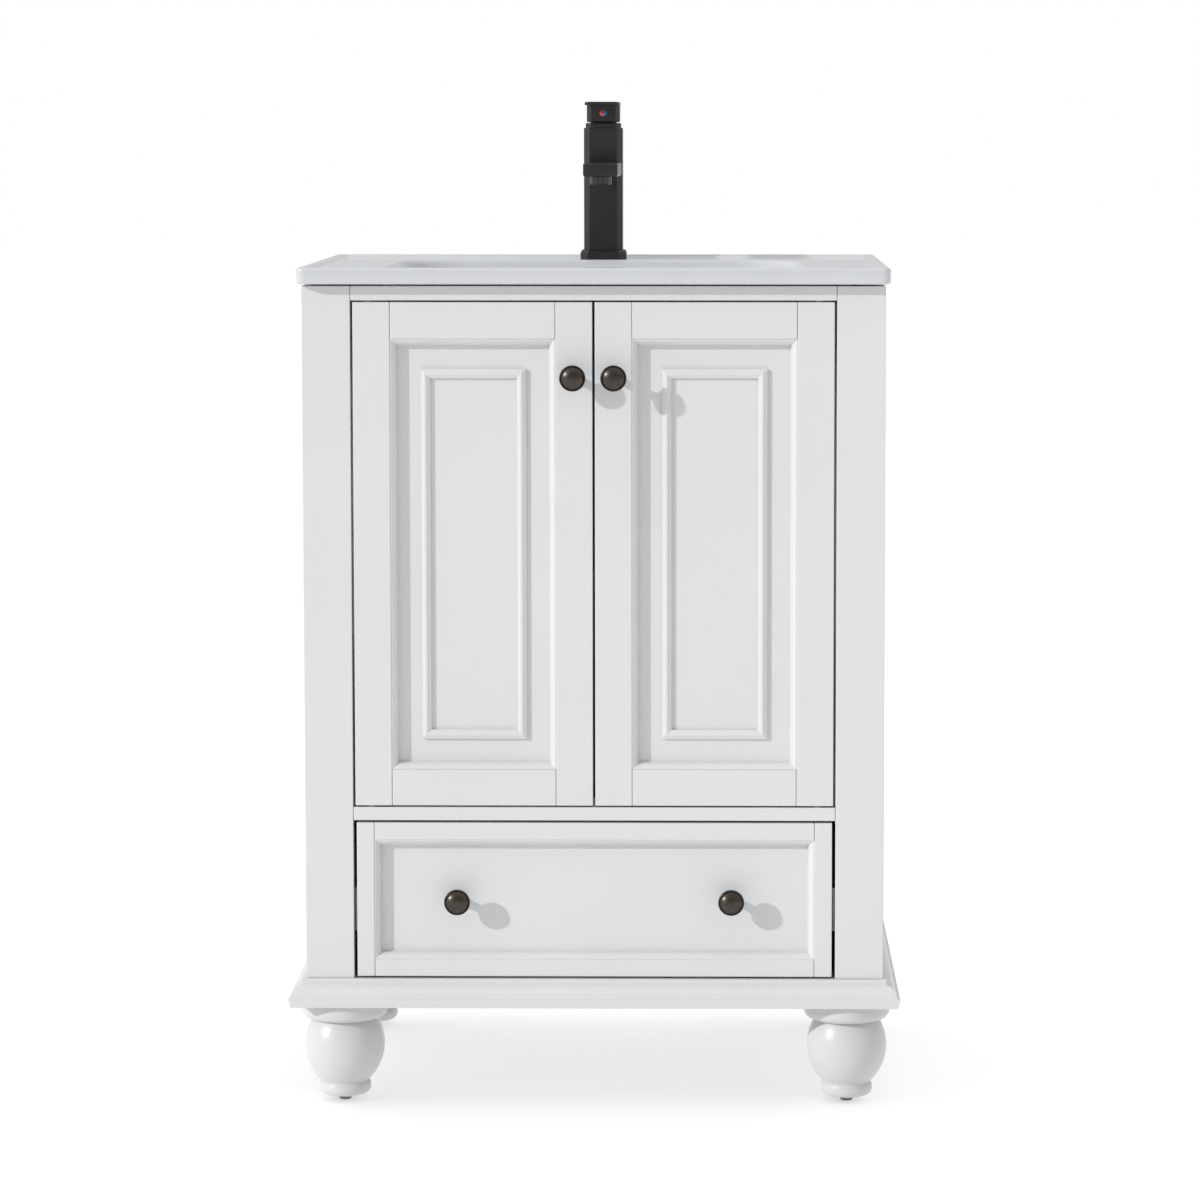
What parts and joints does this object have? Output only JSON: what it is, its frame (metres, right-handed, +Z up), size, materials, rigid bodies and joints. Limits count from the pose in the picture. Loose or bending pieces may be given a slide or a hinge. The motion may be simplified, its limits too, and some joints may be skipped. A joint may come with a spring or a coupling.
{
  "type": "bathroom vanity cabinet",
  "caption": "Free-standing white bathroom vanity with panelled inset doors over a drawer, moulded plinth, bun feet, ceramic top with integral bowl and black lever mixer.",
  "frame": {"origin": "on the floor, at the middle of the overall width and of the overall depth", "axes": "+X to the right as seen from the front, +Y to the wall, +Z up"},
  "size_m": [0.635, 0.48, 1.0465],
  "materials": {
    "white_paint": "satin white paint on hardwood and MDF",
    "feet_paint": "satin white paint on turned wood",
    "inner_board": "white melamine-faced board",
    "drawer_wood": "clear-lacquered birch plywood",
    "bronze": "oil-rubbed bronze, satin",
    "ceramic_glaze": "gloss white glaze",
    "black_finish": "matte black on brass",
    "aerator_black": "matte black plastic",
    "index_enamel": "red and blue enamel dot",
    "steel": "zinc-plated steel",
    "nylon": "grey nylon",
    "catch_plastic": "white plastic with a magnet",
    "rubber_part": "black rubber",
    "drain_metal": "chrome plate",
    "mixer_brass": "turned brass"
  },
  "bodies": {
    "root": {"posts_front": "white_paint", "posts_rear": "white_paint", "side_rails": "white_paint", "side_panels": "white_paint", "top_rail": "white_paint", "middle_rail": "white_paint", "hanging_rail": "inner_board", "back_panel": "inner_board", "divider_shelf": "inner_board", "corner_blocks": "inner_board", "bottom_panel": "inner_board", "foot_bolts": "steel", "plinth_front": "white_paint", "plinth_sides": "white_paint", "plinth_rear": "white_paint", "bun_feet": "feet_paint", "pivot_frame_leaves": "steel", "pivot_washers": "nylon", "magnetic_catches": "catch_plastic", "runner_cleats": "inner_board", "runner_outer": "steel", "sink_pads": "rubber_part", "basin": "ceramic_glaze", "drain_body": "drain_metal", "drain_nut": "drain_metal", "faucet_base_plate": "black_finish", "faucet_body": "black_finish", "faucet_spout": "black_finish", "faucet_aerator": "aerator_black", "faucet_cartridge": "mixer_brass", "faucet_shank": "mixer_brass", "sealing_washers": "rubber_part", "faucet_fixing_nut": "mixer_brass"},
    "leveller_front_left": {"leveller_front_left": "nylon"},
    "leveller_front_right": {"leveller_front_right": "nylon"},
    "leveller_rear_left": {"leveller_rear_left": "nylon"},
    "leveller_rear_right": {"leveller_rear_right": "nylon"},
    "door_left": {"door_left_stiles": "white_paint", "door_left_rails": "white_paint", "door_left_panel": "white_paint", "door_left_knob": "bronze", "door_left_fittings": "steel"},
    "door_right": {"door_right_stiles": "white_paint", "door_right_rails": "white_paint", "door_right_panel": "white_paint", "door_right_knob": "bronze", "door_right_fittings": "steel"},
    "drawer": {"drawer_front_stiles": "white_paint", "drawer_front_rails": "white_paint", "drawer_front_panel": "white_paint", "drawer_knobs": "bronze", "drawer_knob_screws": "steel", "drawer_box": "drawer_wood", "drawer_bottom": "drawer_wood", "runner_inner": "steel"},
    "runner_middle": {"runner_middle": "steel"},
    "drain_plug": {"drain_plug": "drain_metal"},
    "mixer_spindle": {"faucet_spindle": "mixer_brass"},
    "mixer_handle": {"faucet_handle": "black_finish", "faucet_index": "index_enamel"}
  },
  "joints": [
    {"name": "door_left_hinge", "type": "hinge", "parent": "root", "child": "door_left", "pos_m": [-0.2315, -0.203, 0.5785], "axis": [0, 0, -1], "range_deg": [0, 95]},
    {"name": "door_right_hinge", "type": "hinge", "parent": "root", "child": "door_right", "pos_m": [0.2315, -0.203, 0.5785], "axis": [0, 0, 1], "range_deg": [0, 95]},
    {"name": "drawer_slide", "type": "slide", "parent": "root", "child": "drawer", "axis": [0, -1, 0], "range_m": [0, 0.35]},
    {"name": "runner_middle_slide", "type": "slide", "parent": "root", "child": "runner_middle", "axis": [0, -1, 0], "range_m": [0, 0.175]},
    {"name": "drain_plug_lift", "type": "slide", "parent": "root", "child": "drain_plug", "axis": [0, 0, 1], "range_m": [0, 0.008]},
    {"name": "mixer_turn", "type": "hinge", "parent": "root", "child": "mixer_spindle", "pos_m": [0, 0.18, 1.0265], "axis": [0, 0, 1], "range_deg": [-35, 35]},
    {"name": "mixer_lift", "type": "hinge", "parent": "mixer_spindle", "child": "mixer_handle", "pos_m": [0, 0.1995, 1.0238], "axis": [-1, 0, 0], "range_deg": [0, 20]},
    {"name": "leveller_front_left_screw", "type": "slide", "parent": "root", "child": "leveller_front_left", "axis": [0, 0, -1], "range_m": [0, 0.01]},
    {"name": "leveller_front_right_screw", "type": "slide", "parent": "root", "child": "leveller_front_right", "axis": [0, 0, -1], "range_m": [0, 0.01]},
    {"name": "leveller_rear_left_screw", "type": "slide", "parent": "root", "child": "leveller_rear_left", "axis": [0, 0, -1], "range_m": [0, 0.01]},
    {"name": "leveller_rear_right_screw", "type": "slide", "parent": "root", "child": "leveller_rear_right", "axis": [0, 0, -1], "range_m": [0, 0.01]}
  ],
  "couplings": [
    {"joint": "runner_middle_slide", "follows": "drawer_slide", "ratio": 0.5}
  ]
}
